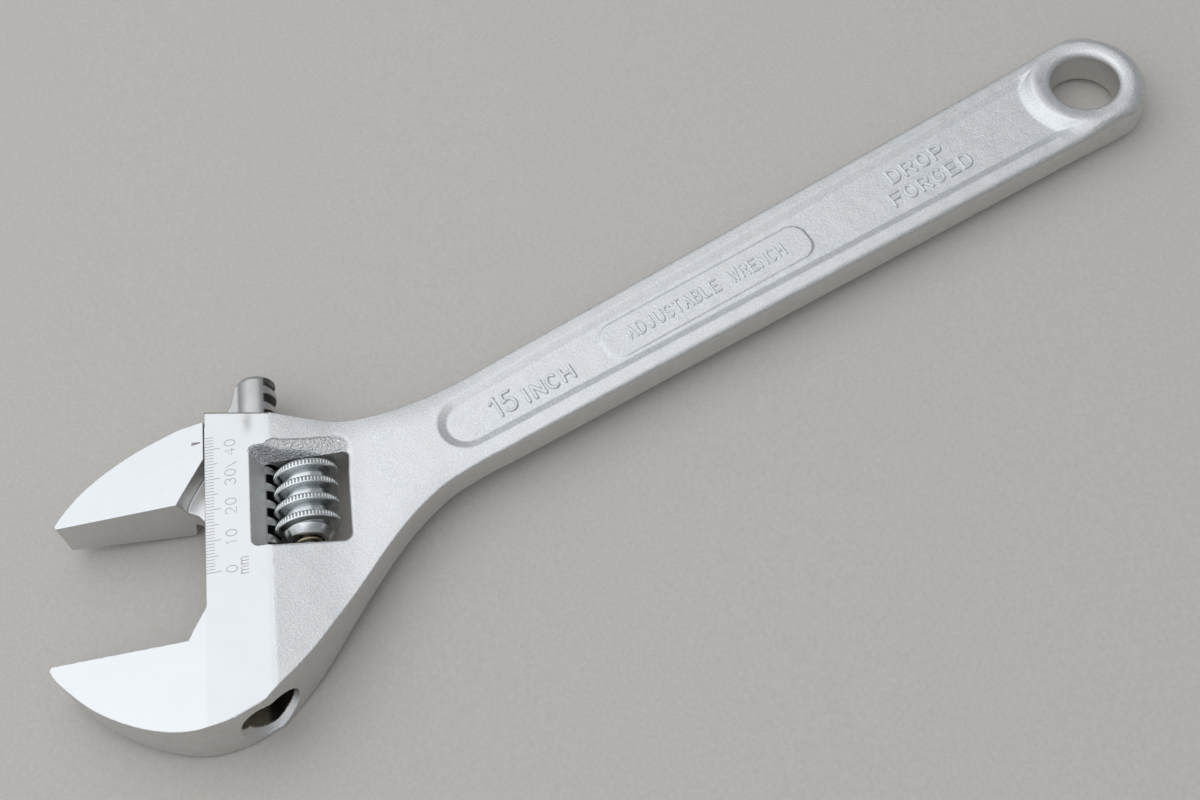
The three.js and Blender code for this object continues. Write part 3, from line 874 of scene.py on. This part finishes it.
def forged_chrome():
    """Satin chrome: fine and smooth where machined, sand-blasted where forged."""
    n = Nodes("satin_chrome_forging")
    machined, side = n.attribute("machined"), n.attribute("side")
    rough_and_highlit_lip, darkening, shade = n.attribute("rough"), n.attribute("darkening"), n.attribute("shade")
    grain = n.noise(0.55, 2.0)
    fine = n.noise(0.3, 2.0)
    coarse = n.noise(2.2, 3.0)
    clouds = n.noise(12.0, 4.0)
    forged = n.mix(n.ramp(grain, 0.0, 1.0), tint(0.68, 0.70, 0.715), tint(0.93, 0.945, 0.95))
    forged = n.mix(n.ramp(clouds, 0.0, 0.4), forged, tint(0.84, 0.85, 0.855))
    smooth = n.mix(n.ramp(clouds, 0.0, 1.0), tint(0.77, 0.795, 0.815), tint(0.82, 0.84, 0.855))
    colour = n.mix(machined, forged, smooth)
    # painted reflection: the side walls are tinted brownish like the floor they would mirror
    painted_floor_reflection = n.mix(n.ramp(coarse, 0.0, 1.0), tint(0.6, 0.58, 0.545), tint(0.7, 0.68, 0.645))
    colour = n.mix(n.math("MULTIPLY", side, 0.6), colour, painted_floor_reflection)
    shaded = n.math("MULTIPLY", shade, n.ramp(coarse, 0.3, 0.85))
    colour = n.mix(shaded, colour, tint(0.45, 0.47, 0.52))
    # dark brown: painted shadow in the bore and the slot, and darker marks on the head's face and
    # top edge
    darkened = n.math("MULTIPLY", darkening, n.ramp(grain, 0.5, 1.0))
    colour = n.mix(darkened, colour, tint(0.2, 0.17, 0.13))
    # painted highlight: the window's upper lip is whitened, except where painted shade lies
    painted_lip_highlight = n.math("SUBTRACT", n.math("MULTIPLY", rough_and_highlit_lip, 0.8), shade, True)
    colour = n.mix(painted_lip_highlight, colour, tint(0.97, 0.975, 0.98))
    rough = n.mix(machined, n.ramp(grain, 0.38, 0.52), n.ramp(clouds, 0.3, 0.36))
    sand = n.math("ADD", n.math("MULTIPLY", grain, 0.75), n.math("MULTIPLY", fine, 0.25))
    blasted = n.math("SUBTRACT", 1.0, machined, True)
    height = n.math("MULTIPLY", sand, n.math("MAXIMUM", blasted, 0.03))
    normal = n.bump(height, 0.15, 1.0)
    lumps = n.math("MULTIPLY", n.math("ADD", coarse, grain), rough_and_highlit_lip)
    return n.finish(colour, rough, n.bump(lumps, 0.6, 1.0, normal))


def machined_chrome():
    """Ground steel under satin chrome, with a fine brushed grain on its sides, which are tinted
    brownish as a painted reflection of the floor.
    """
    n = Nodes("machined_chrome")
    side, rod, darkening = n.attribute("side"), n.attribute("rod"), n.attribute("darkening")
    clouds = n.noise(7.0, 4.0)
    brushed = n.noise(0.3, 2.0, stretch=(1, 1, 30))
    colour = n.mix(n.ramp(clouds, 0.0, 1.0), tint(0.77, 0.795, 0.815), tint(0.82, 0.84, 0.855))
    # brushed grain on the sides, in brownish tones that paint the floor's reflection
    dim_tone = n.mix(n.ramp(brushed, 0.0, 1.0), tint(0.6, 0.59, 0.575), tint(0.72, 0.71, 0.695))
    colour = n.mix(n.math("MULTIPLY", side, 0.85), colour, dim_tone)
    turned_steel = n.mix(n.ramp(clouds, 0.0, 1.0), tint(0.5, 0.51, 0.505), tint(0.62, 0.63, 0.625))
    colour = n.mix(rod, colour, turned_steel)
    # painted shade, near black, in the rod's grooves and on the rod's lower end
    painted_groove_shade = n.math("MULTIPLY", n.attribute("groove"), 0.8)
    colour = n.mix(painted_groove_shade, colour, tint(0.13, 0.125, 0.11))
    darkened = n.math("MULTIPLY", darkening, n.ramp(brushed, 0.4, 0.8))
    colour = n.mix(darkened, colour, tint(0.42, 0.33, 0.22))
    rough = n.mix(side, n.ramp(clouds, 0.3, 0.36), n.ramp(brushed, 0.3, 0.42))
    normal = n.bump(n.math("MULTIPLY", brushed, side), 0.02, 0.5)
    return n.finish(colour, rough, normal)


def bright_steel(name, colour, rough, metallic=1.0):
    """Turned metal, cloudy, and slightly darker in its gaps, where shade is painted."""
    n = Nodes(name)
    gap = n.attribute("gap")
    clouds = n.noise(3.0, 4.0)
    fine = n.noise(0.25, 2.0)
    light = tuple(min(1, c * 1.14) for c in colour)
    mixed = n.mix(n.ramp(clouds, 0.0, 1.0), tint(*colour), tint(*light))
    # painted shade in the worm's gaps and on its lower flank
    mixed = n.mix(n.math("MULTIPLY", gap, 0.65), mixed, tint(0.2, 0.21, 0.22))
    bump = n.bump(fine, 0.003, 0.5)
    return n.finish(mixed, n.ramp(clouds, rough - 0.03, rough + 0.05), bump, metallic)


def floor_paper():
    n = Nodes("pale_floor")
    mottle = n.noise(1.2, 3.0)
    colour = n.mix(n.ramp(mottle, 0.0, 1.0), tint(0.57, 0.54, 0.5), tint(0.63, 0.6, 0.56))
    return n.finish(colour, None, None, 0.0)


# ---- build ----
body_plan = Plan([body_outline()], 0.3, 4.0, True)
jaw_plan = Plan([jaw_outline()], 0.15, 4.0, True)
neck_plan = Plan([neck_outline()], 0.15, 4.0, True)


def install(piece, body, slot, material, *nodes):
    piece.data.materials.append(material)
    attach(piece, body)
    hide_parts(*nodes)


steel = bright_steel("turned_steel", (0.5, 0.5, 0.5), 0.32)
forged_look = forged_chrome()
install(wrench_body(), "body", "forged_body", forged_look, "wrench_body")
install(movable_jaw(), "jaw", "jaw_and_rod", machined_chrome(), "movable_jaw")
worm_look = bright_steel("worm_steel", (0.84, 0.875, 0.9), 0.22)
install(adjusting_worm(), "worm", "knurled_worm", worm_look, "adjusting_worm")
install(worm_pin(), "body", "screw_pin", steel, "worm_pin")
brass = bright_steel("spring_brass", (0.42, 0.36, 0.25), 0.35)
install(worm_spring(), "body", "spring_wire", brass, "worm_spring")
etched = bright_steel("etched_mark", (0.42, 0.39, 0.39), 0.5, 0.0)
install(scale_marks(), "body", "forged_body", etched)
install(pointer_mark(), "jaw", "jaw_and_rod", etched)
PANEL_FLOOR = HANDLE_HALF - PANEL_DEPTH - INSET
# each word: its text, where it starts along and beside the handle, its length and height
PANEL_WORDS = (
    ("15", 94.9, -3.6, 7.4, 6.6),
    ("INCH", 105.0, -3.9, 16.3, 4.5),
    ("DROP", 238.6, 1.9, 19.6, 4.6),
    ("FORGED", 234.6, -5.8, 28.9, 4.6),
)
PAD_WORDS = (("ADJUSTABLE WRENCH", 142.0, -2.1, 55.0, 4.2),)
panel_words = raised_words("panel_lettering", PANEL_WORDS, 0.6, PANEL_FLOOR, 0.72)
install(panel_words, "body", "forged_body", forged_look)
pad_words = raised_words("pad_lettering", PAD_WORDS, 0.4, PANEL_FLOOR + PAD_HEIGHT, 0.5)
install(pad_words, "body", "forged_body", forged_look)

# ---- floor, light and camera ----
CAMERA_AT = (131.852944, -225.613687, 460.037422)  # head frame, millimetres
CAMERA_RIGHT = (0.986971, -0.123382, -0.103274)
CAMERA_DOWN = (-0.158522, -0.855587, -0.492789)
SENSOR_WIDTH = 36
IMAGE_WIDTH = 1200
CAMERA_LENS = 1786.2536 / IMAGE_WIDTH * SENSOR_WIDTH


def floor():
    """A pale floor that touches the head's underside and the far end of the handle."""
    lean = math.atan2(HEAD_HALF - HANDLE_HALF - RING_RISE, 286.0)
    half = 1500.0
    across = np.array([(-half, -half), (half, -half), (half, half), (-half, half)])
    z = -HEAD_HALF - 0.03 + (across[:, 0] - RIDGE_X) * math.tan(lean)
    made = add_mesh("floor", np.column_stack([across, z]), np.array([[0, 1, 2, 3]]))
    made.data.materials.append(floor_paper())


def lamp(name, at, aim, size, watts):
    data = bpy.data.lights.new(name, "AREA")
    data.shape = "RECTANGLE"
    data.size, data.size_y = size
    data.energy = watts
    made = bpy.data.objects.new(name, data)
    bpy.context.scene.collection.objects.link(made)
    made.location = at
    made.rotation_euler = (Vector(aim) - Vector(at)).to_track_quat("-Z", "Y").to_euler()


def camera():
    data = bpy.data.cameras.new("camera")
    data.lens = CAMERA_LENS
    data.sensor_width = SENSOR_WIDTH
    data.clip_start, data.clip_end = 0.01, 20
    made = bpy.data.objects.new("camera", data)
    bpy.context.scene.collection.objects.link(made)
    right, down = (Vector(turned([v])[0]).normalized() for v in (CAMERA_RIGHT, CAMERA_DOWN))
    ahead = right.cross(down)
    turn = Matrix((right, -down, -ahead)).transposed()
    made.matrix_world = Matrix.Translation(to_row([CAMERA_AT])[0]) @ turn.to_4x4()
    bpy.context.scene.camera = made


floor()
camera()
lamp("softbox_above", (-0.35, 0.65, 1.0), (-0.35, 0.65, 0.0), (2.0, 1.5), 5.1)
lamp("softbox_zenith", (-0.1, -0.5, 1.05), (-0.1, -0.1, 0.0), (1.5, 0.7), 1.5)
lamp("softbox_left", (-0.85, 0.45, 0.9), (-0.3, 0.2, 0.0), (0.6, 1.0), 0.2)


def studio():
    """A dim room, lighter to the left and overhead, dark at the horizon behind."""
    world = bpy.data.worlds.new("studio")
    world.use_nodes = True
    tree = world.node_tree
    background = tree.nodes["Background"]
    way = tree.nodes.new("ShaderNodeTexCoord").outputs["Generated"]
    parts = tree.nodes.new("ShaderNodeSeparateXYZ")
    tree.links.new(way, parts.inputs[0])

    def mapped(output, low, high, dim, bright):
        node = tree.nodes.new("ShaderNodeMapRange")
        node.interpolation_type = "SMOOTHSTEP"
        tree.links.new(output, node.inputs["Value"])
        for key, value in zip(RANGE_KEYS, (low, high, dim, bright)):
            node.inputs[key].default_value = value
        return node.outputs["Result"]

    def times(a, b):
        node = tree.nodes.new("ShaderNodeMath")
        node.operation = "MULTIPLY"
        tree.links.new(a, node.inputs[0])
        tree.links.new(b, node.inputs[1])
        return node.outputs[0]

    upward = mapped(parts.outputs["Z"], 0.0, 0.22, 0.2, 0.5)
    leftward = mapped(parts.outputs["X"], -0.8, 0.8, 1.45, 0.65)
    behind = mapped(parts.outputs["Y"], -0.85, -0.45, 0.6, 1.0)
    tree.links.new(times(times(upward, leftward), behind), background.inputs["Strength"])
    background.inputs["Color"].default_value = (0.93, 0.96, 1.0, 1)
    bpy.context.scene.world = world


studio()
bpy.context.scene.view_settings.view_transform = "Standard"
